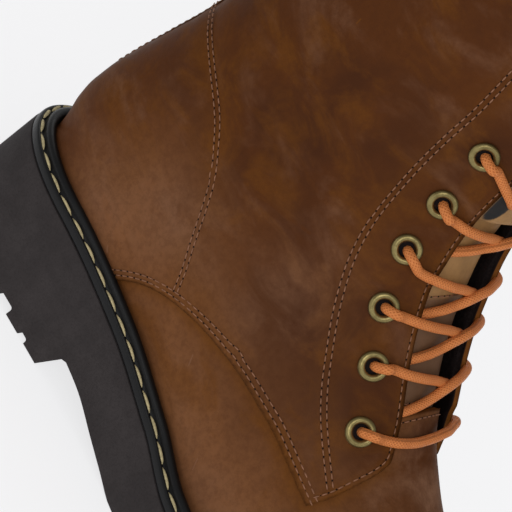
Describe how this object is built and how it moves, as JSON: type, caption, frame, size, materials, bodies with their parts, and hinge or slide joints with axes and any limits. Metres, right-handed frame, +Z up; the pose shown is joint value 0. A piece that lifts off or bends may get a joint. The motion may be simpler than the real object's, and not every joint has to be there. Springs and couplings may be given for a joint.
{
  "type": "lace up ankle boot",
  "caption": "Right lace up ankle boot in oiled brown leather with brass eyelets, waxed cord laces, a stitched storm welt and a black lug sole.",
  "frame": {"origin": "centre of the overall box on the ground plane", "axes": "+X towards the toe, +Y towards the inner side of the foot, +Z up"},
  "size_m": [0.276, 0.095, 0.2098],
  "materials": {
    "oiled_leather": "oiled pull-up brown, satin",
    "tongue_leather": "tan, satin",
    "outsole_rubber": "matt charcoal",
    "welt_rubber": "semi-gloss black",
    "insole_board": "matt",
    "antique_brass": "antique",
    "waxed_cord": "waxed round braid"
  },
  "bodies": {
    "root": {"outsole": "outsole_rubber", "welt": "welt_rubber", "insole": "insole_board", "upper": "oiled_leather", "backstay": "oiled_leather", "tongue": "tongue_leather", "lace_keeper": "tongue_leather", "eyelet_lateral_1": "antique_brass", "eyelet_medial_1": "antique_brass", "eyelet_lateral_2": "antique_brass", "eyelet_medial_2": "antique_brass", "eyelet_lateral_3": "antique_brass", "eyelet_medial_3": "antique_brass", "eyelet_lateral_4": "antique_brass", "eyelet_medial_4": "antique_brass", "eyelet_lateral_5": "antique_brass", "eyelet_medial_5": "antique_brass", "eyelet_lateral_6": "antique_brass", "eyelet_medial_6": "antique_brass", "eyelet_lateral_7": "antique_brass", "eyelet_medial_7": "antique_brass", "eyelet_lateral_8": "antique_brass", "eyelet_medial_8": "antique_brass", "lace_bar": "waxed_cord", "lace_crossing_2": "waxed_cord", "lace_crossing_3": "waxed_cord", "lace_crossing_4": "waxed_cord", "lace_crossing_5": "waxed_cord", "lace_crossing_6": "waxed_cord", "lace_crossing_7": "waxed_cord", "lace_crossing_8": "waxed_cord"}
  },
  "joints": []
}
